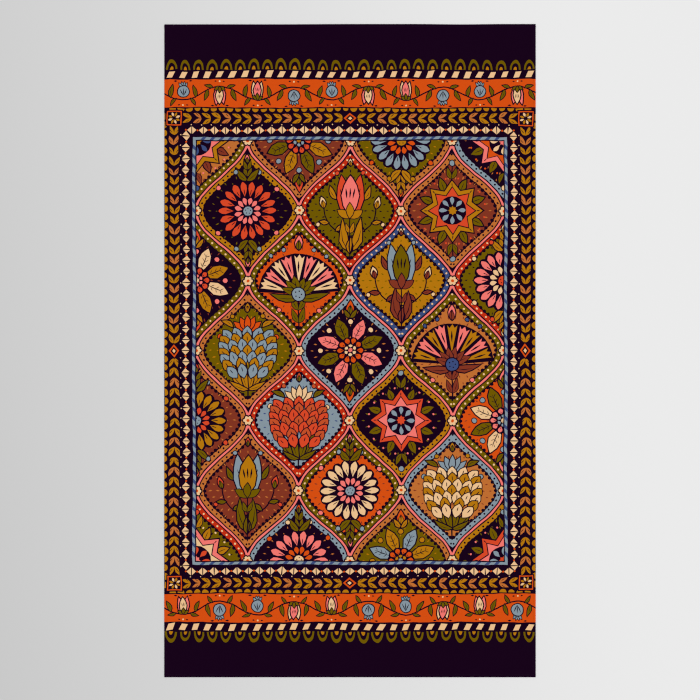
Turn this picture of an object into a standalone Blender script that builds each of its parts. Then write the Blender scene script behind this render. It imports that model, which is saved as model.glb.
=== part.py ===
"""A rectangular printed tablecloth, lying flat with its face up.

One cut length of cloth makes the whole thing. All four edges are turned under twice and sewn,
so the cloth is three layers thick along its hem and thicker again where two hems cross at a corner.
Metres, +Z up. The origin is under the middle of the cloth, on the surface that it lies on.
"""

from collections import namedtuple
from math import cos, pi, sqrt

import bmesh
import bpy

# Driving dimensions of the finished cloth
WIDTH = 1.4732  # 58 in, along X
LENGTH = 2.5908  # 102 in, along Y
SHEET = 0.0012  # one layer of cloth, as modelled
HEM_WIDTH = 0.012  # from the folded edge to the end of the turned layers
HEM_THICK = 0.0023  # three layers pressed together
CORNER_THICK = 0.0030  # where two hems cross
CORNER_STEP = 0.0008  # the short slope where the thicker corner ends
HEM_EASE = 0.018  # how far inside the hem the cloth takes to come down to the table

# The folded edge is a soft roll: widest at half its thickness, drawn in under and over
FOLD_UNDER = 0.0009
FOLD_SHOULDER = 0.0003
FOLD_TOP = 0.0013
SHOULDER_HEIGHT = 0.86  # as a share of the hem's thickness
CORNER_RADIUS = 0.003

# Lines round the cloth that shape its hem, by how far inside the folded edge they lie
HEM_LINES = (
    0.0,
    FOLD_SHOULDER,
    FOLD_TOP,
    HEM_WIDTH,
    HEM_WIDTH + CORNER_STEP,
    HEM_WIDTH + 0.3 * HEM_EASE,
    HEM_WIDTH + 0.6 * HEM_EASE,
    HEM_WIDTH + HEM_EASE,
)
LONG_CELLS = 36  # stretches along each long side, between its two corners
SHORT_CELLS = 22

# Where the edge wavers: a soft dip inwards, centred at a share of the side's length.
# Shares run along +X on the near and far sides, and along +Y on the left and right sides.
Waver = namedtuple("Waver", "side centre reach inward")
WAVERS = (
    Waver("far", 0.02, 0.30, 0.0013),
    Waver("far", 0.30, 0.22, 0.0012),
    Waver("far", 0.80, 0.12, 0.0014),
    Waver("right", 0.50, 0.22, 0.0013),
    Waver("left", 0.75, 0.60, 0.0005),
    Waver("near", 0.40, 0.30, 0.0001),
)
WAVER_FADE = 0.15  # the waver dies out this far inside the edge

# The print's ground
GROUND_COLOUR = (0.0091, 0.0015, 0.0097, 1.0)
ROUGHNESS = 0.82


def clear_scene():
    for old in list(bpy.data.objects):
        bpy.data.objects.remove(old, do_unlink=True)


def smooth(share):
    """0 to 1 with level ends."""
    share = min(1.0, max(0.0, share))
    return share * share * (3 - 2 * share)


def dip(side, share):
    """How far that side's edge lies inside the plain rectangle, at a share of its length."""
    total = 0.0
    for waver in WAVERS:
        away = abs(share - waver.centre) / waver.reach
        if waver.side == side and away < 1:
            total += waver.inward * (1 + cos(pi * away)) / 2
    return total


def wavered(x, y):
    """The place on the real cloth of a point on the plain rectangle."""
    along_x, along_y = x / WIDTH + 0.5, y / LENGTH + 0.5
    by_right = smooth(1 - (WIDTH / 2 - x) / WAVER_FADE)
    by_left = smooth(1 - (WIDTH / 2 + x) / WAVER_FADE)
    by_far = smooth(1 - (LENGTH / 2 - y) / WAVER_FADE)
    by_near = smooth(1 - (LENGTH / 2 + y) / WAVER_FADE)
    new_x = x - by_right * dip("right", along_y) + by_left * dip("left", along_y)
    new_y = y - by_far * dip("far", along_x) + by_near * dip("near", along_x)
    return new_x, new_y


def corner_rounded(x, y):
    """Draws the rectangle's square corner in to a round one."""
    middle_x, middle_y = WIDTH / 2 - CORNER_RADIUS, LENGTH / 2 - CORNER_RADIUS
    a, b = (abs(x) - middle_x) / CORNER_RADIUS, (abs(y) - middle_y) / CORNER_RADIUS
    if a <= 0 or b <= 0:
        return x, y
    out_x = middle_x + CORNER_RADIUS * a * sqrt(1 - b * b / 2)
    out_y = middle_y + CORNER_RADIUS * b * sqrt(1 - a * a / 2)
    return (out_x if x > 0 else -out_x), (out_y if y > 0 else -out_y)


def height_beside(inside, across):
    """Height of the face, inside one folded edge by so much, where the other edge is across away."""
    thick = HEM_THICK
    if across < HEM_WIDTH + CORNER_STEP:
        thick += (CORNER_THICK - HEM_THICK) * smooth(1 - (across - HEM_WIDTH) / CORNER_STEP)
    if inside <= 0:
        return thick / 2
    if inside <= FOLD_SHOULDER:
        return thick * SHOULDER_HEIGHT
    if inside <= HEM_WIDTH:
        return thick
    return SHEET + (thick - SHEET) * smooth(1 - (inside - HEM_WIDTH) / HEM_EASE)


def face_height(x, y):
    """Height of the cloth's face above the table at a point of the plain rectangle."""
    from_side, from_end = WIDTH / 2 - abs(x), LENGTH / 2 - abs(y)
    nearer, further = sorted((from_side, from_end))
    if nearer <= HEM_WIDTH:
        return height_beside(nearer, further)
    return max(height_beside(from_side, from_end), height_beside(from_end, from_side))


def lines_across(half, cells):
    """Coordinates of the lines that cut the cloth one way: its hems' lines, and even cells between."""
    inner = half - HEM_LINES[-1]
    low = [line - half for line in HEM_LINES]
    middle = [inner * (2 * step / cells - 1) for step in range(1, cells)]
    high = [half - line for line in reversed(HEM_LINES)]
    return low + middle + high


def loop(low, high_i, high_j):
    """Grid places once round a rectangle of lines, anticlockwise seen from above."""
    near = [(i, low) for i in range(low, high_i)]
    right = [(high_i, j) for j in range(low, high_j)]
    far = [(i, high_j) for i in range(high_i, low, -1)]
    left = [(low, j) for j in range(high_j, low, -1)]
    return near + right + far + left


def cloth_mesh():
    """The hem is a frame of small faces. The flat field inside it is one face, and so is the back."""
    xs, ys = lines_across(WIDTH / 2, SHORT_CELLS), lines_across(LENGTH / 2, LONG_CELLS)
    last_x, last_y = len(xs) - 1, len(ys) - 1
    hem = len(HEM_LINES) - 1
    bm = bmesh.new()

    def on_face(i, j):
        x, y = corner_rounded(xs[i], ys[j])
        return *wavered(x, y), face_height(xs[i], ys[j])

    def on_back(i, j):
        x, y = corner_rounded(xs[i], ys[j])
        x, y = x * (1 - 2 * FOLD_UNDER / WIDTH), y * (1 - 2 * FOLD_UNDER / LENGTH)
        return *wavered(x, y), 0.0

    def past_hem(i, j, edge):
        return hem + edge <= i <= last_x - hem - 1 and hem + edge <= j <= last_y - hem - 1

    face = {}
    for i in range(last_x + 1):
        for j in range(last_y + 1):
            if not past_hem(i, j, edge=1):
                face[i, j] = bm.verts.new(on_face(i, j))
    for i in range(last_x):
        for j in range(last_y):
            if not past_hem(i, j, edge=0):
                bm.faces.new([face[c] for c in ((i, j), (i + 1, j), (i + 1, j + 1), (i, j + 1))])
    bm.faces.new([face[c] for c in loop(hem, last_x - hem, last_y - hem)])

    outline = loop(0, last_x, last_y)
    back = {c: bm.verts.new(on_back(*c)) for c in outline}
    for here, following in zip(outline, outline[1:] + outline[:1]):
        bm.faces.new([back[here], back[following], face[following], face[here]])
    bm.faces.new([back[c] for c in reversed(outline)])

    mesh = bpy.data.meshes.new("tablecloth")
    bm.to_mesh(mesh)
    bm.free()
    return mesh


def printed_cloth():
    material = bpy.data.materials.new("printed_cloth")
    material.use_nodes = True
    shader = material.node_tree.nodes["Principled BSDF"]
    shader.inputs["Base Color"].default_value = GROUND_COLOUR
    shader.inputs["Roughness"].default_value = ROUGHNESS
    shader.inputs["Metallic"].default_value = 0.0
    return material


def make_tablecloth():
    mesh = cloth_mesh()
    mesh.materials.append(printed_cloth())
    mesh.shade_smooth()
    cloth = bpy.data.objects.new("tablecloth", mesh)
    bpy.context.scene.collection.objects.link(cloth)


clear_scene()
make_tablecloth()
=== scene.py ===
"""A printed tablecloth laid flat, seen from straight above.

Metres, +Z up, +Y along the cloth, with the origin under its middle, on the surface that it lies on.
"""

from collections import namedtuple
from contextlib import contextmanager
from functools import partialmethod
from math import cos, pi, radians, sin

import bpy
import numpy as np
from mathutils.bvhtree import BVHTree
from mathutils.geometry import delaunay_2d_cdt
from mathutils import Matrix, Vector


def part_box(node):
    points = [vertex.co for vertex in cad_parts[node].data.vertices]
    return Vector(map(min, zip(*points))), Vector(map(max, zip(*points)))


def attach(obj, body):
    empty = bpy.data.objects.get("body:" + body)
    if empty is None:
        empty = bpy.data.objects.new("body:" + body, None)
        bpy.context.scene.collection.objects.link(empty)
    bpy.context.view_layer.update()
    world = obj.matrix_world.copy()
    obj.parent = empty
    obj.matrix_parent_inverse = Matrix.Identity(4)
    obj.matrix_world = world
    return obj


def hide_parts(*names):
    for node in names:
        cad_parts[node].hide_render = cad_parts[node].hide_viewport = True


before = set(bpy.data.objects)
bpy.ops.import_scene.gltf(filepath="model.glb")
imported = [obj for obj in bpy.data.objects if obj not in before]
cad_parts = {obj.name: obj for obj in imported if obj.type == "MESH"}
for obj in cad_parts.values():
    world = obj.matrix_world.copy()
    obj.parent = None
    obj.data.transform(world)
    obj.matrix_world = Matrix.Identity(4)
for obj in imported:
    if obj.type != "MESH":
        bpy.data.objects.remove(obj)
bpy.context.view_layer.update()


# The tablecloth. A length of plain-woven cotton, printed on its face in thirteen inks. Its back is
# pale. Its edges are turned under twice and stitched down, which makes a ridge three layers thick
# all round. It lies flat, and only ripples by a fraction of a millimetre.

cloth_low, cloth_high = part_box("tablecloth")
WIDTH, LENGTH = cloth_high.x - cloth_low.x, cloth_high.y - cloth_low.y

# The print's own sizes, in from the cloth's ends and sides
LINE = 0.0047  # the dark line round each coloured shape
PRINT_END = LENGTH / 2 - 0.137  # the ground is bare from here to the cloth's end
SCALLOPS, SCALLOP_COUNT = 0.048, 27
BLOCKS, BLOCK_COUNT = 0.029, 30
VINE_BAND, VINE_WAVES = 0.121, 5
GARLAND = 0.07
CHAIN = 0.04
RULE = 0.018  # the blue line that closes the frame
PRINT_REACH = 0.76  # half the print's width, a little past the cloth's edges

# The inks in sRGB. The studio's light lifts the darkest one a little, and leaves the rest.
INKS = {
    "aubergine": (22, 1, 24),
    "orange": (213, 78, 16),
    "coral": (214, 71, 38),
    "rust": (193, 79, 40),
    "brick": (190, 45, 16),
    "ochre": (180, 117, 12),
    "olive": (110, 87, 0),
    "cream": (235, 192, 143),
    "pink": (242, 119, 111),
    "slate": (133, 148, 158),
    "cobalt": (59, 75, 121),
    "clay": (190, 109, 49),
    "brown": (129, 52, 33),
}

# The print is drawn with complex numbers, X in the real part and Y in the imaginary one. A shape
# is a closed outline. Later shapes are printed over earlier ones.
shapes = []
hand = np.random.default_rng(11)


def anticlockwise(outline):
    area = (outline.conj() * np.roll(outline, -1)).imag.sum()
    return outline if area > 0 else outline[::-1]


def lay(ink, outline):
    """Prints one shape, over those before it."""
    shapes.append((ink, anticlockwise(outline)))


def lay_dark(outline):
    """Prints a vein, a stem or a gap in the ground's own dark ink."""
    lay("aubergine", outline)


@contextmanager
def moved(turn=1, shift=0):
    """Turns and shifts all that is laid within it."""
    first = len(shapes)
    yield
    shapes[first:] = [(ink, turn * outline + shift) for ink, outline in shapes[first:]]


def grown(outline, by):
    """An anticlockwise outline moved outwards all round, with its sharp tips cut short."""
    ahead = np.roll(outline, -1) - outline
    ahead /= abs(ahead)
    behind = np.roll(ahead, 1)
    out = -1j * (ahead + behind)
    out /= abs(out) + 1e-9
    lean = (out * (-1j * ahead).conj()).real
    return outline + by * out / np.maximum(lean, 0.55)


def lay_ringed(ink, outline, weight=1.0):
    """Prints a shape with the dark line round it, which a weight under 1 makes finer."""
    lay_dark(grown(anticlockwise(outline), weight * LINE))
    lay(ink, outline)


def turned(angle):
    """The direction at an angle from +X, in radians."""
    return np.exp(1j * angle)


def turns(count, start=0.0):
    """Directions evenly round a circle."""
    return turned(2 * pi * (np.arange(count) + start) / count)


def uneven(by=0.04):
    """A small turn and change of size, as in shapes that are cut by hand."""
    return (1 + hand.normal(0, by)) * turned(hand.normal(0, by))


def disc(radius, sides=14):
    return radius * turns(sides) * uneven(0.01)


def star(points, outer, inner):
    return turns(2 * points) * np.tile((outer, inner), points)


def scalloped(radius, lobes, depth, sides=6):
    """A flower's silhouette, its lobes centred on the directions of turns(lobes)."""
    lobe = abs(np.cos(pi * np.arange(lobes * sides) / sides)) ** 0.6
    return turns(lobes * sides) * radius * (1 - depth + depth * lobe)


def lozenge(length, width):
    return np.array((length / 2, 0.5j * width, -length / 2, -0.5j * width))


def blade(length, width, fullness=1.0, bend=0.0, plump=1.0, steps=6):
    """A leaf or petal from 0 along +X. Fullness over 1 moves its widest part towards the tip,
    and plump under 1 rounds it off."""
    t = (1 - np.cos(pi * np.arange(steps + 1) / steps)) / 2
    half = width / 2 * np.sin(pi * t**fullness).clip(0) ** plump
    middle = length * (t + 1j * bend * t**2)
    return np.concatenate((middle - 1j * half, (middle + 1j * half)[-2:0:-1]))


def ribbon(path, width):
    """A stroke of the given width along a path."""
    along = np.gradient(path)
    side = 0.5j * width * along / abs(along)
    return np.concatenate((path - side, (path + side)[::-1]))


def stepped(*corners, step=0.016):
    """A closed outline through the corners, with points along its sides for the hand's waver."""
    sides = []
    for start, end in zip(corners, corners[1:] + corners[:1]):
        count = max(1, round(abs(end - start) / step))
        sides.append(start + (end - start) * np.arange(count) / count)
    return np.concatenate(sides)


# A rectangle about 0 is given by its corner on the far right.
DIAGONAL = 1 + 1j
SQUARE = DIAGONAL * np.array((-1, -1j, 1, 1j))


def panel(corner):
    """The outline of a rectangle."""
    return stepped(*(corner.real * SQUARE.real + 1j * corner.imag * SQUARE.imag))


def four_sides(corner):
    """Each side of a rectangle in turn: its direction, half its length, and how far out it is."""
    yield 1, corner.real, corner.imag
    yield 1j, corner.imag, corner.real
    yield -1, corner.real, corner.imag
    yield -1j, corner.imag, corner.real


def spaced(corner, spacing, first=1):
    """Even places along a rectangle's sides, between its corners: the side's direction, the
    place, and half the way to the next one."""
    for direction, side, out in four_sides(corner):
        count = round(2 * side / spacing)
        for k in range(first, count):
            yield direction, direction * complex(side * (2 * k / count - 1), -out), side / count


def frame_strip(ink, corner, thickness):
    """Four mitred strips along the inside of a rectangle."""
    for direction, side, out in four_sides(corner):
        outer, inner, reach = -1j * out, -1j * (out - thickness), side - thickness
        lay(ink, direction * stepped(outer - side, outer + side, inner + reach, inner - reach))


# Flowers and leaves. Each stands on a root and points up, which is a direction.


def lay_vein(root, up, start, length, width, bend=0.0, steps=4):
    """A dark slit in a shape that stands on the root, from so far up it."""
    lay_dark(root + up * (start + blade(length, width, bend=bend, steps=steps)))


def veined_leaf(ink, root, up, length, width, bend=0.0, weight=1.0):
    """A leaf with a dark line round it and along its middle."""
    up = up * uneven()
    lay_ringed(ink, root + up * blade(length, width, 0.92, bend), weight)
    lay_vein(root, up, 0.12 * length, 0.66 * length, 0.1 * width, 0.8 * bend)


def leafy_stem(path, leaf_ink, leaves, size, width=0.0045):
    """A stem with leaves in pairs along it."""
    lay_dark(ribbon(path, width))
    along = np.gradient(path)
    for share in leaves:
        place = round(share * (len(path) - 1))
        for side in (1, -1):
            up = along[place] / abs(along[place]) * turned(0.75 * side)
            veined_leaf(leaf_ink, path[place], up, size, 0.42 * size, -0.35 * side, 0.6)


def tulip(root, up, size, petal, side_petal, calyx):
    """Two flared petals behind a tall middle one, over a small leafy cup."""
    grow = size * up
    for side in (1, -1):
        flared = turned(0.4 * side) * blade(0.98, 0.36, 0.75, -0.16 * side, 0.85)
        lay_ringed(side_petal, root + grow * flared * uneven(0.015))
        lay_vein(root, grow * turned(0.36 * side), 0.34, 0.34, 0.035)
    lay_ringed(petal, root + grow * blade(0.95, 0.4, 0.95, plump=0.85) * uneven(0.015))
    for lean in (-0.16, 0.0, 0.16):
        lay_vein(root, grow * turned(lean), 0.4, 0.26, 0.04)
    for lean in (-1.0, 1.0, 0.0):
        lay_ringed(calyx, root + grow * (turned(lean) * blade(0.34, 0.17) - 0.05), 0.7)


def bud(root, up, size, ink, calyx):
    """A closed flower in a two-leaved calyx."""
    grow = size * up
    lay_ringed(ink, root + grow * blade(1.0, 0.5, 0.85, plump=0.9))
    lay_vein(root, grow, 0.42, 0.34, 0.09)
    for side in (1, -1):
        sepal = turned(0.55 * side) * blade(0.55, 0.2, bend=-0.5 * side)
        lay_ringed(calyx, root + grow * sepal, 0.5)


def berry(ink, centre, radius):
    lay_ringed(ink, centre + disc(radius, 10), 0.7)


def rosette(radius, petals, outer, inner, heart):
    """A round flower: two rings of petals on a dark scalloped ground, and a dotted heart."""
    lay_dark(scalloped(radius + LINE, petals, 0.08))
    width = 2 * pi * 0.74 * radius / petals - 0.7 * LINE
    for spoke in turns(petals):
        petal = blade(0.5 * radius, width, 1.5, plump=0.75) * uneven(0.015)
        lay(outer, spoke * (0.5 * radius + petal))
        lay_vein(0, spoke, 0.55 * radius, 0.2 * radius, 0.16 * width, steps=3)
    few = petals * 2 // 3
    width = 2 * pi * 0.34 * radius / few - 0.5 * LINE
    for spoke in turns(few, 0.5):
        petal = blade(0.26 * radius, width, 1.4, plump=0.75) * uneven(0.015)
        lay(inner, spoke * (0.21 * radius + petal))
    lay(heart, disc(0.165 * radius, 12))
    for spoke in turns(5, 0.2):
        lay_dark(0.09 * radius * spoke + disc(0.022 * radius, 5))


# The flowers of the field's cells, each drawn about the middle of its cell


def side_leaf(ink, side, root, lean, length, width, bend=0.0, up=1j):
    """A leaf to the left of up, or with side at -1 its mirror image to the right."""
    veined_leaf(ink, root, up * turned(lean * side), length, width, bend * side)


def rosette_cell(inks):
    """A rosette in a wreath of leaves, with a leafy sprig above it and another below."""
    for up in (1j, -1j):
        path = up * np.linspace(0.118, 0.19, 9)
        leafy_stem(path, inks.leaf, (0.3, 0.65), 0.034)
        bud(path[-1], up, 0.032, inks.second, inks.leaf)
        for side in (1, -1):
            side_leaf(inks.leaf, side, 0.118 * up, 1.05, 0.062, 0.024, -0.3, up)
            berry(inks.third, 0.152 * up + 0.046 * side, 0.008)
            berry(inks.second, 0.088 * up + 0.116 * side, 0.0085)
    rosette(0.116, 18, inks.first, inks.second, inks.third)


def tulip_cell(inks):
    """One tulip on a tall stem, with a pair of buds that curl away from it."""
    for side in (1, -1):
        t = np.linspace(0, 1, 12)
        curl = 0.102 * side * np.sin(0.5 * pi * t) + 1j * (0.11 * t**1.6 - 0.1)
        lay_dark(ribbon(curl, 0.005))
        for place, lean in ((4, 0.9), (7, -1.5)):
            side_leaf(inks.leaf, side, curl[place], lean, 0.036, 0.015)
        bud(curl[-1], 1j * turned(-0.25 * side), 0.046, inks.second, inks.leaf)
        side_leaf(inks.leaf, side, -0.16j, -0.75, 0.112, 0.038, 0.55)
        side_leaf(inks.leaf, side, -0.168j, -0.25, 0.056, 0.02, 0.3)
        side_leaf(inks.leaf, side, 0.052 * side + 0.045j, -0.9, 0.052, 0.021, 0.4)
        berry(inks.third, 0.05 * side + 0.15j, 0.0075)
        berry(inks.second, 0.128 * side - 0.055j, 0.007)
    leafy_stem(1j * np.linspace(-0.2, -0.02, 12), inks.leaf, (0.66,), 0.04)
    tulip(-0.02j, 1j, 0.168, inks.first, inks.third, inks.leaf)
    bud(0.178j, 1j, 0.03, inks.second, inks.leaf)


def artichoke_cell(inks):
    """A bud of overlapping scales with a tuft at its tip, on three pairs of long leaves."""
    lay_dark(ribbon(1j * np.linspace(-0.195, -0.07, 8), 0.006))
    for side in (1, -1):
        for reach, lean, bend in ((0.132, 1.12, 0.75), (0.098, 0.55, 0.45), (0.07, 1.5, 0.4)):
            side_leaf(inks.leaf, side, -0.152j, -lean, reach, 0.27 * reach, bend)
        berry(inks.second, 0.112 * side + 0.055j, 0.0085)
        berry(inks.third, 0.06 * side + 0.136j, 0.0075)
        side_leaf(inks.leaf, side, 0.058 * side + 0.094j, -0.7, 0.046, 0.019, -0.4)
    for lean in (-0.85, 0.85, -0.42, 0.42, 0.0):
        lay_ringed(inks.second, 0.068j + 1j * turned(lean) * blade(0.07, 0.022, 1.2), 0.8)
    for row, height in enumerate(np.linspace(0.06, -0.084, 7)):
        half = 0.092 * (1 - (height / 0.108) ** 2) ** 0.5
        for share in np.linspace(-1, 1, round(half / 0.018) + 1 - row % 2):
            root = share * (half - 0.016) + 1j * (height - 0.022)
            up = 1j * turned(-0.75 * share)
            scale = blade(0.056, 0.037, 1.05, plump=0.8)
            lay_ringed((inks.first, inks.third)[row % 2], root + up * scale, 0.8)
            lay_vein(root, up, 0.024, 0.02, 0.0045, steps=3)
    bud(0.154j, 1j, 0.036, inks.third, inks.leaf)


def star_cell(inks):
    """Two eight-pointed stars, one in the other, round a ring of drops, in a wreath of leaves."""
    for up in (1j, -1j):
        leafy_stem(up * np.linspace(0.11, 0.18, 8), inks.leaf, (0.35,), 0.044)
        berry(inks.third, 0.19 * up, 0.01)
    for spoke in turns(8, 0.5):
        veined_leaf(inks.leaf, 0.078 * spoke, spoke, 0.06, 0.028)
    for spoke in turns(16, 0.5):
        lay(inks.second, 0.131 * spoke + disc(0.0042, 6))
    lay_ringed(inks.first, star(8, 0.122, 0.084))
    lay_ringed(inks.second, star(8, 0.092, 0.062), 0.8)
    for spoke in turns(8):
        lay_vein(0, spoke, 0.098, 0.014, 0.005, steps=3)
    lay_dark(disc(0.058, 20))
    for spoke in turns(8):
        lay(inks.third, spoke * (0.021 + blade(0.034, 0.018, 1.4, plump=0.8)))
    lay(inks.first, scalloped(0.0185, 8, 0.3, 2))


def fan_cell(inks):
    """A fan of toothed petals over a cup of leaves, on a short stem."""
    root = -0.055j
    leafy_stem(1j * np.linspace(-0.2, -0.05, 10), inks.leaf, (0.18, 0.52), 0.056, width=0.006)
    for side in (1, -1):
        side_leaf(inks.leaf, side, root - 0.014j, -1.85, 0.105, 0.03, 0.4)
        berry(inks.second, 0.08 * side - 0.118j, 0.008)
    lay_dark(root + 1j * np.append(0, 0.164 * turned(np.linspace(-1.5, 1.5, 16))))
    teeth = np.array((0.156, 0.145, 0.16, 0.145, 0.156)) * turned(np.linspace(-0.128, 0.128, 5))
    petal = np.append(0.045, teeth)
    for k, lean in enumerate(np.linspace(-1.28, 1.28, 9)):
        up = 1j * turned(lean)
        lay((inks.first, inks.second)[k % 2], root + up * petal * uneven(0.008))
        lay_vein(root, up, 0.088, 0.05, 0.007)
    for lean in np.linspace(-1.2, 1.2, 6):
        veined_leaf(inks.leaf, root, 1j * turned(lean), 0.072, 0.028, weight=0.6)
    lay_ringed(inks.third, root + disc(0.026, 14))
    for spoke in turns(5):
        lay_dark(root + 0.013 * spoke + disc(0.003, 6))
    for lean in (-0.62, -0.32, 0.32, 0.62):
        berry(inks.third, root + 0.188j * turned(lean), 0.007)
    bud(root + 0.178j, 1j, 0.056, inks.second, inks.leaf)


def wheel_cell(inks):
    """Eight ribbed leaves round a small flower, with berries between their tips."""
    for k, spoke in enumerate(turns(8, 0.5)):
        leaf = (0.03 + blade(0.106, 0.048, 1.15)) * uneven(0.012)
        lay_ringed((inks.leaf, inks.first)[k % 2], spoke * leaf)
        lay_vein(0, spoke, 0.045, 0.072, 0.004, steps=6)
        for side in (1, -1):
            for out in (0.06, 0.08, 0.1):
                lay_vein(out * spoke, spoke * turned(0.8 * side), 0.002, 0.016, 0.0032, steps=3)
    for spoke in turns(8):
        berry(inks.third, 0.116 * spoke, 0.0095)
    for up in (1j, -1j):
        bud(0.14 * up, up, 0.06, inks.second, inks.leaf)
        for side in (1, -1):
            side_leaf(inks.leaf, side, 0.132 * up, 0.95, 0.04, 0.016, -0.3, up)
    rosette(0.05, 10, inks.second, inks.third, inks.first)


# The borders of one end, from the plain ground inwards


def seed_pod(root, up, size):
    """A round slate pod, ribbed from its stalk up, with a toothed crown."""
    grow = size * up
    for lean in (-0.62, -0.2, 0.2, 0.62):
        lay_ringed("slate", root + grow * (0.58 + turned(lean) * blade(0.38, 0.15)), 0.6)
    lay_ringed("slate", root + grow * (0.42 + disc(0.31, 16)), 0.8)
    for lean in (-0.46, 0.0, 0.46):
        lay_vein(root + 0.16 * grow, grow * turned(lean), 0, 0.46, 0.055)


def across_cloth(count):
    """The middles of so many equal steps across the cloth, and of one past each edge."""
    return WIDTH * ((np.arange(-1, count + 1) + 0.5) / count - 0.5)


def scallop_row(outer_y):
    """Half-rounds that point outwards, each with two smaller ones in it."""
    arch = turned(np.linspace(0, pi, 11)) * WIDTH / SCALLOP_COUNT
    for x in across_cloth(SCALLOP_COUNT):
        base = complex(x, outer_y - SCALLOPS + 0.004)
        size = uneven(0.05)
        for ink, share in (("olive", 0.4), ("aubergine", 0.27), ("ochre", 0.13)):
            half = share * arch * size
            lay(ink, base + half.real + 1.9j * half.imag.clip(0))


def block_row(outer_y):
    """Slanting cream blocks in a row, like the strands of a cord."""
    block = np.array((-0.0168 - 0.012j, 0.0058 - 0.012j, 0.0168 + 0.012j, -0.0058 + 0.012j))
    for x in across_cloth(BLOCK_COUNT):
        lay("cream", complex(x, outer_y - BLOCKS / 2) + block * uneven(0.05))


def vine_band(outer_y):
    """A stem that waves along an orange ground, with a tulip or a seed pod in each bend."""
    middle = outer_y - VINE_BAND / 2
    wave, swing = WIDTH / VINE_WAVES, 0.026
    lay("orange", 1j * middle + panel(complex(PRINT_REACH, VINE_BAND / 2 - LINE)))
    x = np.linspace(-PRINT_REACH, PRINT_REACH, 150)
    lay_dark(ribbon(x + 1j * (middle + swing * np.sin(2 * pi * x / wave)), 0.005))
    for k in range(-6, 6):
        up = (1j, -1j)[k % 2]
        crest = complex((k + 0.5) * wave / 2, middle)
        for side in (1, -1):
            for share, out, lean, size in ((0.165, -1, 0.12, 0.042), (0.1, 1, 0.95, 0.029)):
                root = crest + side * share * wave + up * swing * cos(2 * pi * share)
                away = out * up * turned(-out * lean * side * up.imag)
                veined_leaf("olive", root, away, size, 0.36 * size, -0.3 * out * side, 0.7)
        hang = crest + 0.86 * up * swing
        if k % 4 < 2:
            tulip(hang, -up, 0.068, *(("cream", "pink"), ("pink", "cream"))[k % 4], "olive")
        else:
            seed_pod(hang, -up, 0.072)
        lay("cream", crest + 0.047 * up + disc(0.0036, 7))
        for side in (1, -1):
            lay_dark(crest + 0.047 * up + 0.016 * side + lozenge(0.011, 0.006))
            lay_dark(crest - 0.05 * up + 0.03 * side + lozenge(0.016, 0.007))


# The frame's borders, from the outermost inwards


def laurel(side, out):
    """The laurel of the frame's near side: pairs of leaves that run from a knot at its middle to
    the corners, and the square flower in one of them."""
    start, spacing, length = 0.03, 0.0385, 0.039
    reach = side - 0.5 * GARLAND - 0.8 * length
    count = round(reach / spacing)
    for way in (1, -1):
        for k in range(count):
            root = complex(way * (start + (reach - start) * k / (count - 1)), -out)
            for edge in (1, -1):
                up = way * turned(0.7 * edge)
                leaf = blade(length, 0.016, 0.95, -0.22 * edge) * uneven(0.05)
                lay(("ochre", "ochre", "clay")[k % 3], root + up * leaf)
                lay_vein(root, up, 0.012, 0.018, 0.0032, steps=3)
            lay("cream", root + 0.026j + disc(0.0026, 5))
    knot, corner = complex(0, -out), complex(side, -out)
    lay_ringed("orange", knot + lozenge(0.054, 0.044))
    lay_dark(knot + lozenge(0.036, 0.028))
    lay("cream", knot + lozenge(0.018, 0.014))
    lay_ringed("orange", corner + panel(0.029 * DIAGONAL))
    lay_dark(corner + panel(0.0245 * DIAGONAL))
    for k, spoke in enumerate(turns(8, 0.5)):
        lay(("cream", "ochre")[k % 2], corner + spoke * (0.006 + blade(0.018, 0.0092, 1.2)))


def garland(corner):
    """Laurel all round, inside a row of small half-rounds."""
    frame_strip("aubergine", corner + 0.02 * DIAGONAL, GARLAND + 0.02)
    bead = 0.013 * turned(np.linspace(0, pi, 8))
    for direction, spot, _ in spaced(corner, spacing=0.033):
        lay("ochre", spot + direction * bead * uneven(0.05))
    for direction, side, out in four_sides(corner - 0.56 * GARLAND * DIAGONAL):
        with moved(turn=direction):
            laurel(side, out)


def chain(corner):
    """A row of cream lozenges, each cut across, with orange dots between them."""
    frame_strip("aubergine", corner, CHAIN)
    places = spaced(corner - 0.4 * CHAIN * DIAGONAL, spacing=0.045, first=0)
    for direction, spot, half_step in places:
        lay("orange", spot + disc(0.004, 7))
        for way in (1, -1):
            half = way * np.array((0.0019 - 0.0145j, 0.018, 0.0019 + 0.0145j)) * uneven(0.05)
            lay("cream", spot + direction * (half_step + half))


def rule(corner):
    """A slate line with slanted cobalt bars, like a striped cord."""
    edge = 0.0025
    thickness = RULE - edge - LINE
    frame_strip("aubergine", corner, RULE)
    frame_strip("slate", corner - edge * DIAGONAL, thickness)
    bar = thickness / 2 * DIAGONAL * np.array((-1, -1, 1, 1)) + 0.0075 * np.array((-1, 1, 1, -1))
    for direction, spot, _ in spaced(corner - (edge + thickness / 2) * DIAGONAL, spacing=0.036):
        lay("cobalt", spot + direction * bar)


# The field. Pointed ovals in a half-drop lattice, parted by a pink ribbon, each with a flower.

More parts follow.
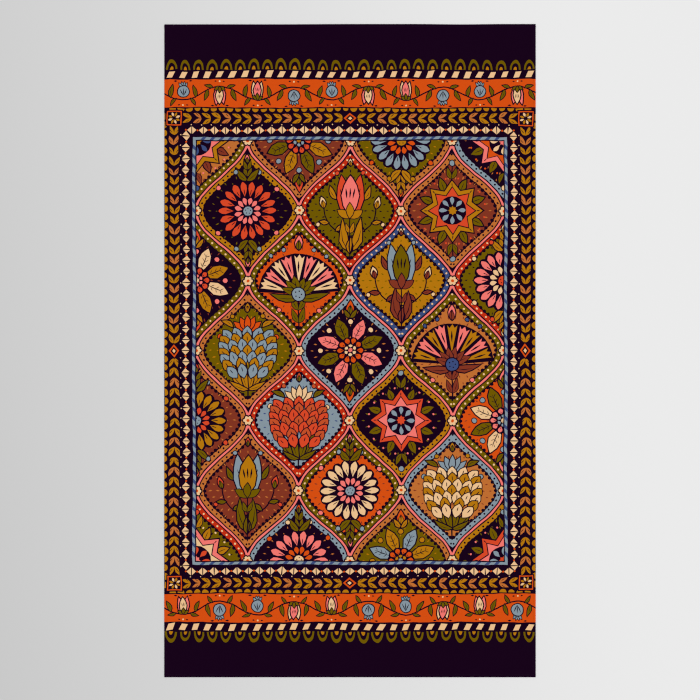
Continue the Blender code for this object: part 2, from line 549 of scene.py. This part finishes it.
Dress = namedtuple("Dress", "band pearl ground fleck first second third leaf")
DRESSES = {
    "dusk": "ochre aubergine aubergine olive coral pink slate olive",
    "plum": "slate aubergine aubergine clay pink orange cream olive",
    "night": "olive cream aubergine brown cream coral pink ochre",
    "moss": "brick cream olive aubergine pink cream coral ochre",
    "fern": "clay aubergine olive ochre slate orange ochre ochre",
    "bark": "clay aubergine brown clay ochre coral slate olive",
    "sand": "olive cream clay brown ochre pink cobalt brown",
    "straw": "cobalt cream ochre olive olive cream slate brown",
    "ember": "olive cream orange brown cream pink slate olive",
    "mist": "brick cream slate cobalt coral cream rust olive",
    "dune": "slate aubergine clay brown cream slate ochre olive",
}
RIBBON = 0.0075
BAND = 0.018
PEARL, PEARL_STEP = 0.0042, 0.024  # along the band's middle
NOTCH, NOTCH_STEP = 0.0072, 0.0195  # rounds of dark that scallop the ground's edge
FLECK_ROOM = 0.042  # left clear between the flecks and the cell's edge


def ogee(width, height, inset):
    """The outline of a lattice cell, a pointed oval, drawn in by the inset."""
    t = np.linspace(-1, 1, 31)
    side = width / 4 * (1 + np.cos(pi * t)) + 0.5j * height * t
    along = np.gradient(side)
    side = side + 1j * inset * along / abs(along)
    side = side[side.real > 0.0015]
    low_tip, high_tip = 1j * (side.imag[[0, -1]] + (-0.01, 0.01))
    side = np.concatenate(([low_tip], side, [high_tip]))
    return np.concatenate((side, -side[-2:0:-1].conj()))


def evenly_along(outline, spacing):
    """Places round a closed outline, about so far apart."""
    closed = np.append(outline, outline[0])
    lengths = np.append(0, abs(np.diff(closed)).cumsum())
    count = round(lengths[-1] / spacing)
    return np.interp(lengths[-1] * (np.arange(count) + 0.5) / count, lengths, closed)


def lattice_cell(width, height, kind, dress):
    """A cell's ribbon, band and pearls, its flecked ground with scalloped edges, its flower."""
    band = RIBBON / 2 + LINE
    ground = band + BAND + LINE
    lay_dark(ogee(width, height, RIBBON / 2))
    lay(dress.band, ogee(width, height, band))
    lay_dark(ogee(width, height, band + BAND))
    lay(dress.ground, ogee(width, height, ground))
    for spot in evenly_along(ogee(width, height, band + BAND / 2), PEARL_STEP):
        lay(dress.pearl, spot + disc(PEARL, 7))
    for spot in evenly_along(ogee(width, height, ground), NOTCH_STEP):
        lay_dark(spot + disc(NOTCH, 8))
    for row in range(-9, 10):
        for column in range(-6, 7):
            spot = complex(0.03 * (column + row % 2 / 2), 0.026 * row)
            room = width / 4 * (1 + cos(2 * pi * spot.imag / height)) - FLECK_ROOM
            if spot and abs(spot.real) < room:
                lay(dress.fleck, spot + spot / abs(spot) * lozenge(0.014, 0.0052) * uneven(0.1))
    kind(dress)


CELLS = (
    (rosette_cell, "dusk"), (tulip_cell, "moss"), (star_cell, "bark"),
    (artichoke_cell, "fern"), (wheel_cell, "plum"), (fan_cell, "sand"),
    (tulip_cell, "bark"), (rosette_cell, "ember"), (artichoke_cell, "dune"),
)
DROPPED_CELLS = (
    (star_cell, "sand"), (wheel_cell, "bark"), (rosette_cell, "fern"), (star_cell, "plum"),
    (wheel_cell, "night"), (fan_cell, "ember"), (tulip_cell, "straw"), (rosette_cell, "moss"),
    (rosette_cell, "bark"), (artichoke_cell, "mist"), (star_cell, "dusk"), (wheel_cell, "ember"),
    (star_cell, "moss"), (rosette_cell, "plum"), (wheel_cell, "fern"), (star_cell, "dusk"),
)


def print_field(corner):
    """Lays the lattice a little past its edges, which the frame then covers."""
    width, height = 2 * corner.real / 3, 2 * corner.imag / 3
    lay("pink", panel(corner + 0.01 * DIAGONAL))
    for side, cells in ((3, CELLS), (4, DROPPED_CELLS)):
        for k, (kind, dress) in enumerate(cells):
            column, row = k % side - (side - 1) / 2, (side - 1) / 2 - k // side
            with moved(shift=complex(column * width, row * height)):
                lattice_cell(width, height, kind, Dress(*DRESSES[dress].split()))
    for column in range(-3, 4):
        for row in range(-3, 4):
            if (column + row) % 2:
                knot = complex(column * width / 2, row * height / 2)
                lay_ringed("cream", knot + scalloped(0.0185, 6, 0.3, 4))
                lay("orange", knot + disc(0.0062, 8))


# From the ground up: the field, then the frame that cuts its edges straight, then the ends
vine_end = PRINT_END - SCALLOPS - BLOCKS
frame_corner = complex(WIDTH / 2, vine_end - VINE_BAND)
lay_dark(panel(complex(PRINT_REACH, LENGTH / 2 + 0.02)))
print_field(frame_corner - (GARLAND + CHAIN + RULE) * DIAGONAL)
rule(frame_corner - (GARLAND + CHAIN) * DIAGONAL)
chain(frame_corner - GARLAND * DIAGONAL)
garland(frame_corner)
for end in (1, -1):
    with moved(turn=end):
        scallop_row(PRINT_END)
        block_row(PRINT_END - SCALLOPS)
        vine_band(vine_end)

# The cloth's own sizes, in from its folded edge or up from the table
SHEET = 0.0012
HEM_WIDTH = 0.012  # from the folded edge to the end of the turned layers
HEM_THICK = 0.0023  # three layers pressed together
CORNER_THICK = cloth_high.z  # where two hems cross
CORNER_STEP = 0.0012  # the short slope where the thicker corner ends
CORNER_RADIUS = 0.003
HEM_EASE = 0.018  # how far inside the hem the cloth takes to come down to the table
FOLD_ROLL = 0.0013  # how far in the folded edge reaches its full thickness
STITCH_LINE = 0.01
GROOVE, GROOVE_WIDTH = 0.0003, 0.00055  # pressed in by the stitches
PUCKER = 0.00013
PUCKERS = ((0.0167, 0.4), (0.0231, 2.1), (0.0413, 4.0), (0.079, 1.1))  # wavelength and phase
PUCKER_FADE = 0.03  # how far inside the hem the pucker dies out
RIPPLE = 0.00016
RIPPLES = ((0.83, 20, 0.3), (0.61, 115, 2.2), (0.47, 64, 4.4), (0.36, 160, 1.0), (0.29, 95, 5.2))
RIPPLE_RISE = 0.08  # how far inside the hem the ripple has its full height

# Where each edge wavers, in soft dips inwards. A dip's centre and reach are shares of its side.
WAVERS = {
    "far": ((0.02, 0.3, 0.0013), (0.3, 0.22, 0.0012), (0.8, 0.12, 0.0014)),
    "right": ((0.5, 0.22, 0.0013),),
    "left": ((0.75, 0.6, 0.0005),),
    "near": ((0.4, 0.3, 0.0001),),
}
WAVER_FADE = 0.15  # the waver dies out this far inside the edge

# Lines round the cloth that shape the hem, and how far apart the points along them are
HEM_LINES = (
    0, 0.00025, 0.0006, 0.0013, 0.0055, 0.0093, 0.01, 0.0107, 0.012, 0.0145, 0.018, 0.023, 0.03,
)
HEM_STEP = 0.008
CORNER_STEPS = np.array((0.0, 0.0006, 0.0012, 0.0018, 0.0026, 0.004, 0.007, 0.012, 0.0132))
FACE_GRID, BACK_GRID = 0.027, 0.04
CLOSE_POINT = 1e-5  # the cuts merge points closer than this
STRAIGHT = 0.00006  # a point this near the line between its neighbours is left out
FLAT_TRIANGLE = 1e-9  # twice the area up to which a triangle of the back is left out

# How the cloth goes round its folded edge and under the hem: how far in, and how high. The rows
# without a height lie on the cloth's unprinted back.
UNDER_ROWS = (
    (0.00025, 0.0003), (0.0009, 0.0), (0.0094, 0.0), (0.01, 0.0003), (0.0106, 0.0),
    (0.012, 0.0), (0.01245, 0.0006), (0.013, None), (0.02, None), (0.03, None),
)


def smooth(share):
    """0 to 1 with level ends."""
    share = np.clip(share, 0, 1)
    return share * share * (3 - 2 * share)


def dip(side, share):
    """How far that side's edge lies inside the plain rectangle, at a share of its length."""
    inwards = 0
    for centre, reach, depth in WAVERS[side]:
        away = np.clip(abs(share - centre) / reach, 0, 1)
        inwards = inwards + depth * (1 + np.cos(pi * away)) / 2
    return inwards


def wavered(x, y):
    """The place on the real cloth of points on the plain rectangle."""
    along_x, along_y = x / WIDTH + 0.5, y / LENGTH + 0.5
    by_right, by_left = (smooth(1 - (WIDTH / 2 - way * x) / WAVER_FADE) for way in (1, -1))
    by_far, by_near = (smooth(1 - (LENGTH / 2 - way * y) / WAVER_FADE) for way in (1, -1))
    new_x = x - by_right * dip("right", along_y) + by_left * dip("left", along_y)
    new_y = y - by_far * dip("far", along_x) + by_near * dip("near", along_x)
    return new_x, new_y


def face_height(x, y):
    """The printed face's height over the table, at points of the plain rectangle."""
    from_side, from_end = WIDTH / 2 - abs(x), LENGTH / 2 - abs(y)
    inside, across = np.minimum(from_side, from_end), np.maximum(from_side, from_end)
    thick = HEM_THICK + (CORNER_THICK - HEM_THICK) * smooth(1 - (across - HEM_WIDTH) / CORNER_STEP)
    roll = np.clip(inside / FOLD_ROLL, 0, 1)
    on_hem = thick * (1 + np.sqrt(1 - (1 - roll) ** 2)) / 2
    off_hem = SHEET + (HEM_THICK - SHEET) * smooth(1 - (inside - HEM_WIDTH) / HEM_EASE)
    along = np.where(from_side < from_end, y, x + LENGTH)
    puckers = (np.sin(2 * pi * along / length + phase) for length, phase in PUCKERS)
    pucker = sum(puckers) / len(PUCKERS)
    pucker *= smooth(inside / HEM_WIDTH) * smooth(1 - (inside - HEM_WIDTH) / PUCKER_FADE)
    pucker *= smooth((across - 0.02) / PUCKER_FADE)
    groove = GROOVE * np.exp(-(((inside - STITCH_LINE) / GROOVE_WIDTH) ** 2))
    waves = (
        np.sin(2 * pi * (x * cos(radians(turn)) + y * sin(radians(turn))) / length + phase)
        for length, turn, phase in RIPPLES
    )
    ripple = RIPPLE * np.clip(sum(waves), 0, None) * smooth((inside - HEM_WIDTH) / RIPPLE_RISE)
    return np.where(inside < HEM_WIDTH, on_hem, off_hem) + PUCKER * pucker - groove + ripple


def corner_rounded(places):
    """Draws the plain rectangle's square corners in to round ones."""
    x, y = abs(places.real), abs(places.imag)
    a, b = (x - WIDTH / 2) / CORNER_RADIUS + 1, (y - LENGTH / 2) / CORNER_RADIUS + 1
    round_x = x + CORNER_RADIUS * a * (np.sqrt(1 - (b * b / 2).clip(0, 1)) - 1)
    round_y = y + CORNER_RADIUS * b * (np.sqrt(1 - (a * a / 2).clip(0, 1)) - 1)
    rounded = np.sign(places.real) * round_x + 1j * np.sign(places.imag) * round_y
    return np.where((a > 0) & (b > 0), rounded, places)


def hem_ring(inset):
    """Points round the cloth, so far in from its edge, and closest together at its corners."""
    points = []
    for direction, side, out in four_sides(complex(WIDTH, LENGTH) / 2 - inset * DIAGONAL):
        plain = side - CORNER_STEPS[-1]
        middle = plain * np.linspace(-1, 1, round(2 * plain / HEM_STEP) + 1)
        along = np.concatenate((CORNER_STEPS[:-1] - side, middle, side - CORNER_STEPS[-2:0:-1]))
        points.extend(direction * (along - 1j * out))
    return corner_rounded(np.array(points))


def grid(spacing, margin):
    """Points all over the cloth but its margin."""
    columns, rows = int(WIDTH / spacing), int(LENGTH / spacing)
    x = (np.arange(1, columns) / columns - 0.5) * (WIDTH - margin)
    y = (np.arange(1, rows) / rows - 0.5) * (LENGTH - margin)
    return (x[:, None] + 1j * y).ravel()


def cut(points, edges, faces, kind=0, near=CLOSE_POINT):
    """Triangles between the points, kept to the edges and faces. Returns their corners' places,
    the triangles, and which points and faces each of them comes from."""
    pairs = np.column_stack((np.real(points), np.imag(points))).tolist()
    verts, _, triangles, from_points, _, from_faces = delaunay_2d_cdt(
        pairs, edges, faces, kind, near, True
    )
    return np.array([complex(*v) for v in verts]), triangles, from_points, from_faces


def drawn_by_hand(outline):
    """The waver of a hand-cut print: slow drifts, and a finer tremble."""
    x, y = outline.real, outline.imag
    drift = 0.0016 * (np.sin(23 * x + 9 * y + 1.0) + 1j * np.sin(19 * y - 11 * x + 2.0))
    sway = 0.0009 * (np.sin(71 * y + 31 * x) + 1j * np.sin(67 * x - 43 * y + 1.3))
    tremble = 0.0005 * (np.sin(233 * y - 120 * x) + 1j * np.sin(251 * x + 97 * y + 0.7))
    return outline + drift + sway + tremble


def straightened(places, lines):
    """The same lines without the points along them where a hidden line meets them."""
    joined = {}
    for a, b in lines:
        joined.setdefault(a, set()).add(b)
        joined.setdefault(b, set()).add(a)
    for middle in list(joined):
        if len(joined[middle]) == 2:
            a, b = joined[middle]
            along = places[b] - places[a]
            off = ((places[middle] - places[a]) * along.conjugate()).imag / abs(along)
            if abs(off) < STRAIGHT and b not in joined[a]:
                joined[a] = joined[a] - {middle} | {b}
                joined[b] = joined[b] - {middle} | {a}
                del joined[middle]
    return [(a, b) for a, others in joined.items() for b in others if a < b]


def inks_beside(triangles, inks):
    """The ink beside each side of the triangles, which run anticlockwise round them."""
    return {
        side: ink
        for (a, b, c), ink in zip(triangles, inks)
        for side in ((a, b), (b, c), (c, a))
    }


def seen_print():
    """Overlaps all the shapes, and keeps the lines between two inks that are seen. Returns the
    lines' points, the lines as pairs of numbers, and the tree and inks that colour a place."""
    points, faces = [], []
    for _, outline in shapes:
        faces.append(list(range(len(points), len(points) + len(outline))))
        points.extend(drawn_by_hand(outline))
    places, triangles, _, owners = cut(points, [], faces)
    names = list(INKS)
    inks = [names.index(shapes[max(owner)][0]) if owner else 0 for owner in owners]
    beside = inks_beside(triangles, inks)
    lines = [(a, b) for (a, b), ink in beside.items() if a < b and beside.get((b, a), ink) != ink]
    used, lines = np.unique(straightened(places, lines), return_inverse=True)
    tree = BVHTree.FromPolygons([(v.real, v.imag, 0.0) for v in places], triangles)
    return places[used], lines.reshape(-1, 2), tree, np.array(inks)


def face_mesh():
    """Cuts the plain rectangle along the hem's lines and between the inks.
    Returns its points, its triangles and the number of each triangle's ink."""
    places, lines, tree, inks = seen_print()
    points, edges = list(places), lines.tolist()
    for inset in HEM_LINES:
        ring = hem_ring(inset)
        edges.extend((len(points) + k, len(points) + (k + 1) % len(ring)) for k in range(len(ring)))
        points.extend(ring)
    points.extend(grid(FACE_GRID, margin=0.06))
    places, triangles, _, _ = cut(points, edges, [])
    triangles = np.array(triangles)
    centres = places[triangles].mean(axis=1)
    past_x, past_y = abs(centres.real) - WIDTH / 2, abs(centres.imag) - LENGTH / 2
    arc = np.hypot((past_x + CORNER_RADIUS).clip(0), (past_y + CORNER_RADIUS).clip(0))
    inside = np.maximum(np.maximum(past_x, past_y), arc - CORNER_RADIUS) < -1e-6
    found = [tree.ray_cast((c.real, c.imag, 1.0), (0.0, 0.0, -1.0))[2] for c in centres[inside]]
    used, triangles = np.unique(triangles[inside], return_inverse=True)
    return places[used], triangles.reshape(-1, 3).tolist(), inks[found].tolist()


def outer_edge(triangles, inks):
    """The corners of the triangles' outer edge in order, and the inks along it."""
    beside = inks_beside(triangles, inks)
    free = {a: b for a, b in beside if (b, a) not in beside}
    loop = [min(free)]
    while free[loop[-1]] != loop[0]:
        loop.append(free[loop[-1]])
    return loop, [beside[a, free[a]] for a in loop]


def snapped(along, limit):
    """Coordinates, with those a hair off the limit put on it."""
    return np.where(abs(along) > limit - 1e-7, np.sign(along) * limit, along)


def cloth_mesh():
    """The face, then rows of quads round the folded edge and under the hem, then the back."""
    places, triangles, inks = face_mesh()
    loop, edge_inks = outer_edge(triangles, inks)
    verts = list(zip(places.real, places.imag, face_height(places.real, places.imag)))
    faces = [(corners, ink, 0) for corners, ink in zip(triangles, inks)]
    edge_x, edge_y = snapped(places[loop].real, WIDTH / 2), snapped(places[loop].imag, LENGTH / 2)
    row = loop
    for inset, height in UNDER_ROWS:
        x, y = edge_x * (1 - 2 * inset / WIDTH), edge_y * (1 - 2 * inset / LENGTH)
        z = face_height(x, y) - SHEET if height is None else np.full(len(x), height)
        new_row = list(range(len(verts), len(verts) + len(x)))
        verts.extend(zip(x, y, z))
        for k, ink in enumerate(edge_inks):
            n = (k + 1) % len(row)
            corners = new_row[k], new_row[n], row[n], row[k]
            faces.append((corners, ink, int(height is None)))
        row = new_row
    inner = [complex(*verts[v][:2]) for v in row]
    points = inner + list(grid(BACK_GRID, margin=0.07))
    back, triangles, origins, _ = cut(points, [], [list(range(len(inner)))], kind=1, near=1e-6)
    numbers = []
    for place, origin in zip(back, origins):
        if origin and min(origin) < len(inner):
            numbers.append(row[min(origin)])
        else:
            numbers.append(len(verts))
            height = face_height(place.real, place.imag) - SHEET
            verts.append((place.real, place.imag, float(height)))
    for a, b, c in triangles:
        if ((back[b] - back[a]).conj() * (back[c] - back[a])).imag > FLAT_TRIANGLE:
            faces.append(((numbers[c], numbers[b], numbers[a]), 0, 1))
    polygons, inks, sides = zip(*faces)
    x, y, z = np.array(verts).T
    mesh = bpy.data.meshes.new("printed_tablecloth")
    mesh.from_pydata(np.column_stack((*wavered(x, y), z)).tolist(), [], polygons)
    carried = mesh.attributes.new("ink", "FLOAT", "FACE")
    carried.data.foreach_set("value", np.array(inks, dtype=np.float32))
    mesh.polygons.foreach_set("material_index", sides)
    mesh.shade_smooth()
    return mesh


def placed(name, data):
    """An object in the scene, at its origin."""
    thing = bpy.data.objects.new(name, data)
    bpy.context.scene.collection.objects.link(thing)
    return thing


cloth = placed("printed_tablecloth", cloth_mesh())


class Wire:
    """An output of a node. Arithmetic on a shader's wires adds Math nodes."""

    def __init__(self, out):
        self.out = out

    def node(self, kind, values, settings=(), out=0):
        """Adds a node to the tree: its settings first, then its sockets' values or wires."""
        made = self.out.id_data.nodes.new(kind)
        for name, value in dict(settings).items():
            setattr(made, name, value)
        for socket, value in values.items():
            if isinstance(value, Wire):
                self.out.id_data.links.new(value.out, made.inputs[socket])
            else:
                made.inputs[socket].default_value = value
        return Wire(made.outputs[out])

    def axis(self, name):
        return self.node("ShaderNodeSeparateXYZ", {0: self}, out=name)

    def mix(self, low, high):
        """The colour between two others, at this wire's share."""
        return self.node("ShaderNodeMix", {0: self, 6: low, 7: high}, {"data_type": "RGBA"}, out=2)

    def maths(self, operation, *others):
        values = dict(enumerate((self, *others)))
        return self.node("ShaderNodeMath", values, {"operation": operation})

    __add__ = __radd__ = partialmethod(maths, "ADD")
    __mul__ = __rmul__ = partialmethod(maths, "MULTIPLY")
    __sub__ = partialmethod(maths, "SUBTRACT")
    __truediv__ = partialmethod(maths, "DIVIDE")

    def __rsub__(self, other):
        return self * -1.0 + other

    def feed(self, shader, socket):
        self.out.id_data.links.new(self.out, shader.inputs[socket])


def new_material(name, **constants):
    """A material, the wire of its object coordinates, and its shader with its constants set."""
    material = bpy.data.materials.new(name)
    material.use_nodes = True
    shader = material.node_tree.nodes["Principled BSDF"]
    for socket, value in constants.items():
        shader.inputs[socket.replace("_", " ")].default_value = value
    place = Wire(material.node_tree.nodes.new("ShaderNodeTexCoord").outputs["Object"])
    return material, place, shader


YARN_PITCH = 0.0007


def plain_weave(place):
    """Heights from 0 to 1 of yarns that pass over and under each other."""
    across, up = place.axis("X") / YARN_PITCH, place.axis("Y") / YARN_PITCH
    ridge_x = (across * pi).maths("SINE").maths("ABSOLUTE")
    ridge_y = (up * pi).maths("SINE").maths("ABSOLUTE")
    over = ((across.maths("FLOOR") + up.maths("FLOOR")) * 0.5).maths("FRACT") * 2.0
    warp = ridge_x * (0.35 + 0.65 * ridge_y * over)
    weft = ridge_y * (0.35 + 0.65 * ridge_x * (1 - over))
    return warp.maths("MAXIMUM", weft)


def noise(place, scale, stretch=(1.0, 1.0, 1.0)):
    stretched = place.node("ShaderNodeMapping", {"Vector": place, "Scale": stretch})
    return place.node("ShaderNodeTexNoise", {"Vector": stretched, "Scale": scale, "Detail": 3.0})


def woven(name, colour_of, depth):
    """A matt woven material on a colour from colour_of(place). Painted shade follows the yarns,
    lighter on their tops and darker between them, as strong as depth, and slub and cloud add the
    yarns' and ink's own uneven tone.
    """
    material, place, shader = new_material(
        name, Specular_IOR_Level=0.02, Sheen_Weight=0.01, Sheen_Roughness=0.5
    )
    weave = plain_weave(place)
    slub = noise(place, 260.0, (1.0, 0.14, 1.0)) * 0.5 + noise(place, 260.0, (0.14, 1.0, 1.0)) * 0.5
    cloudy = noise(place, 7.0)
    # The weave term is painted shade: lighter on the yarns' tops, darker in the hollows between
    # them. The slub and cloudy terms are the yarns' and ink's own uneven tone.
    yarn_shade_and_mottle = (1 - depth + 2 * depth * weave) * (0.96 + 0.08 * slub) * (0.975 + 0.05 * cloudy)
    shaded = {0: colour_of(place), 1: yarn_shade_and_mottle}
    place.node("ShaderNodeVectorMath", shaded, {"operation": "MULTIPLY"}).feed(shader, "Base Color")
    (0.88 - 0.10 * weave).feed(shader, "Roughness")
    relief = {"Strength": 0.6, "Distance": 0.00022, "Height": weave + 0.5 * slub}
    place.node("ShaderNodeBump", relief).feed(shader, "Normal")
    return material


def seen_colour(rgb):
    """An sRGB colour of 0 to 255 as a shader's linear one, with alpha."""
    return (*(c / 3294.6 if c < 10.3 else ((c / 255 + 0.055) / 1.055) ** 2.4 for c in rgb), 1.0)


def ink_colour(place):
    """The number that a face carries picks its ink."""
    ink = place.node("ShaderNodeAttribute", {}, {"attribute_name": "ink"}, out="Fac")
    picked = place.node("ShaderNodeValToRGB", {0: ink / len(INKS)})
    ramp = picked.out.node.color_ramp
    ramp.interpolation = "CONSTANT"
    while len(ramp.elements) < len(INKS):
        ramp.elements.new(1.0)
    for k, (stop, rgb) in enumerate(zip(ramp.elements, INKS.values())):
        stop.position = max(0.0, k - 0.5) / len(INKS)
        stop.color = seen_colour(rgb)
    return picked


def back_colour(place):
    """Unprinted cloth, where the plain dark ends show through as a faint tint."""
    past_print = place.axis("Y").maths("ABSOLUTE") - PRINT_END
    dark_end = (past_print * 60.0 + 0.5).maths("MAXIMUM", 0.0).maths("MINIMUM", 1.0)
    tint = 0.10 * noise(place, 24.0) + 0.08 * dark_end
    return tint.mix((0.72, 0.69, 0.63, 1.0), (0.20, 0.10, 0.12, 1.0))


# The last number is how strong the weave's painted shade is, on the face and on the back.
cloth.data.materials.append(woven("printed_cloth_face", ink_colour, 0.06))
cloth.data.materials.append(woven("unprinted_cloth_back", back_colour, 0.10))
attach(cloth, "root")
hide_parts("tablecloth")


# The hem's stitching. A machine sews lockstitch in dark thread through all three layers, near the
# hem's inner edge, with one thread on the face and the bobbin's on the back. Each stitch sinks
# into the cloth at both ends, and none lies quite straight.

STITCH_PITCH = 0.0034
STITCH_LENGTH = 0.0031
THREAD = 0.00036
THREAD_RISE = 0.00012  # how far the thread's middle stands over the groove's floor


def stitch_lines():
    """The seam's two routes, on the cloth's face and on its back. The stitches stop just short of
    each corner, where the cloth was turned under the needle."""
    ring = hem_ring(STITCH_LINE)
    to_side = WIDTH / 2 - STITCH_LINE - abs(ring.real)
    to_end = LENGTH / 2 - STITCH_LINE - abs(ring.imag)
    kept = np.maximum(to_side, to_end) > STITCH_LENGTH / 2
    x, y = wavered(ring.real, ring.imag)
    face = face_height(ring.real, ring.imag) + THREAD_RISE
    back = np.full(len(ring), GROOVE)
    count = len(ring)
    steps = [(k, (k + 1) % count) for k in range(count) if kept[k] and kept[(k + 1) % count]]
    edges = [(start + a, start + b) for start in (0, count) for a, b in steps]
    mesh = bpy.data.meshes.new("hem_stitching_lines")
    mesh.from_pydata([*zip(x, y, face), *zip(x, y, back)], edges, [])
    return mesh


def stitch_tree():
    """Geometry nodes that lay a plump little stitch at each step of a line."""
    tree = bpy.data.node_groups.new("stitches", "GeometryNodeTree")
    for name, kind in (
        ("Lines", "Geometry"), ("Pitch", "Float"), ("Length", "Float"), ("Thread", "Float"),
        ("Unevenness", "Float"), ("Material", "Material"),
    ):
        tree.interface.new_socket(name, in_out="INPUT", socket_type="NodeSocket" + kind)
    tree.interface.new_socket("Stitches", in_out="OUTPUT", socket_type="NodeSocketGeometry")
    given = {socket.name: Wire(socket) for socket in tree.nodes.new("NodeGroupInput").outputs}
    thread, add = given["Thread"], given["Lines"].node
    curve = add("GeometryNodeMeshToCurve", {"Mesh": given["Lines"]})
    evenly = {"Curve": curve, "Length": given["Pitch"]}
    points = add("GeometryNodeCurveToPoints", evenly, {"mode": "LENGTH"})
    along = Wire(points.out.node.outputs["Rotation"])
    any_way = {0: (-1, -1, -1), 1: (1, 1, 1), "Seed": 5}
    tilt = add("FunctionNodeRandomValue", any_way, {"data_type": "FLOAT_VECTOR"})
    slight = {0: tilt, "Scale": given["Unevenness"]}
    tilt = add("ShaderNodeVectorMath", slight, {"operation": "SCALE"})
    tilted = {"Rotation": along, "Rotate By": tilt}
    heading = add("FunctionNodeRotateRotation", tilted, {"rotation_space": "LOCAL"})
    size = add("ShaderNodeCombineXYZ", {"X": thread, "Y": thread, "Z": given["Length"]})
    ball = add("GeometryNodeMeshUVSphere", {"Segments": 6, "Rings": 3, "Radius": 0.5})
    ball = add("GeometryNodeSetShadeSmooth", {"Geometry": ball})
    stitch = add("GeometryNodeTransform", {"Geometry": ball, "Scale": size})
    laid = {"Points": points, "Instance": stitch, "Rotation": heading}
    laid = add("GeometryNodeInstanceOnPoints", laid)
    real = add("GeometryNodeRealizeInstances", {"Geometry": laid})
    dressed = add("GeometryNodeSetMaterial", {"Geometry": real, "Material": given["Material"]})
    dressed.feed(tree.nodes.new("NodeGroupOutput"), "Stitches")
    return tree


def sewing_thread():
    """Dark polyester thread, a little shinier than the cloth, with its ply as a fine ripple."""
    material, place, shader = new_material("dark_sewing_thread", Specular_IOR_Level=0.3)
    fibres = noise(place, 2600.0)
    fibres.mix((0.009, 0.004, 0.010, 1.0), (0.022, 0.011, 0.024, 1.0)).feed(shader, "Base Color")
    (0.42 + 0.2 * fibres).feed(shader, "Roughness")
    relief = {"Strength": 0.5, "Distance": 0.00006, "Height": fibres}
    place.node("ShaderNodeBump", relief).feed(shader, "Normal")
    return material


stitching = placed("hem_stitching", stitch_lines())
sewing = stitching.modifiers.new("sewing", "NODES")
sewing.node_group = stitch_tree()
stitch_inputs = {
    "Pitch": STITCH_PITCH, "Length": STITCH_LENGTH, "Thread": THREAD,
    "Unevenness": 0.07, "Material": sewing_thread(),
}
for socket in sewing.node_group.interface.items_tree:
    if socket.name in stitch_inputs:
        sewing[socket.identifier] = stitch_inputs[socket.name]
sewn = stitching.evaluated_get(bpy.context.evaluated_depsgraph_get())
stitches = bpy.data.meshes.new_from_object(sewn)
stitching.modifiers.clear()
stitching.data = stitches
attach(stitching, "root")


# The studio. A pale floor with painted shade in its colour that darkens it softly to the left, even
# light with a faint soft key from the right, and a camera straight overhead with a long lens, as
# the photograph was framed.

SQUARE_VIEW = 700 * WIDTH / 371.4  # the photograph is 700 pixels wide, and the cloth 371.4 of them
VIEW_CENTRE = 0.0026  # the photograph's middle lies this far up the cloth
LENS, SENSOR = 100.0, 36.0


def pale_floor_painted_shade():
    """Painted light falloff in the floor's colour: brightest on the right, steadily darker to the
    left, and a little to the near side.
    """
    material, place, shader = new_material("pale_floor_painted_shade", Roughness=0.9, Specular_IOR_Level=0.0)
    # Painted shade: the colour darkens to the left and a little to the near side, as light from the
    # right would fall off.
    painted_shade_leftward = (0.88 - place.axis("X") - 0.17 * place.axis("Y")).maths("SMOOTH_MAX", 0.0, 0.6)
    (0.838 - 0.10 * painted_shade_leftward).maths("MAXIMUM", 0.56).feed(shader, "Base Color")
    return material


floor_mesh = bpy.data.meshes.new("floor")
corners = [(60.0 * corner.real, 60.0 * corner.imag, -0.0003) for corner in SQUARE]
floor_mesh.from_pydata(corners, [], [(0, 1, 2, 3)])
floor_mesh.materials.append(pale_floor_painted_shade())
placed("floor", floor_mesh)

sun = bpy.data.lights.new("key", "SUN")
sun.energy = 0.95
sun.angle = radians(25)
placed("key", sun).rotation_euler = (radians(-12), radians(38), 0.0)

world = bpy.data.worlds.new("studio")
world.use_nodes = True
light = world.node_tree.nodes["Background"].inputs
light["Color"].default_value = (1.0, 1.0, 1.0, 1.0)
light["Strength"].default_value = 0.76

lens = bpy.data.cameras.new("camera")
lens.lens, lens.sensor_width, lens.clip_end = LENS, SENSOR, 200.0
camera = placed("camera", lens)
camera.location = (0.0, VIEW_CENTRE, SQUARE_VIEW * LENS / SENSOR + SHEET)

bpy.context.scene.world = world
bpy.context.scene.camera = camera
bpy.context.scene.view_settings.view_transform = "Standard"
bpy.context.scene.cycles.filter_width = 1.2  # the photograph is crisp from pixel to pixel
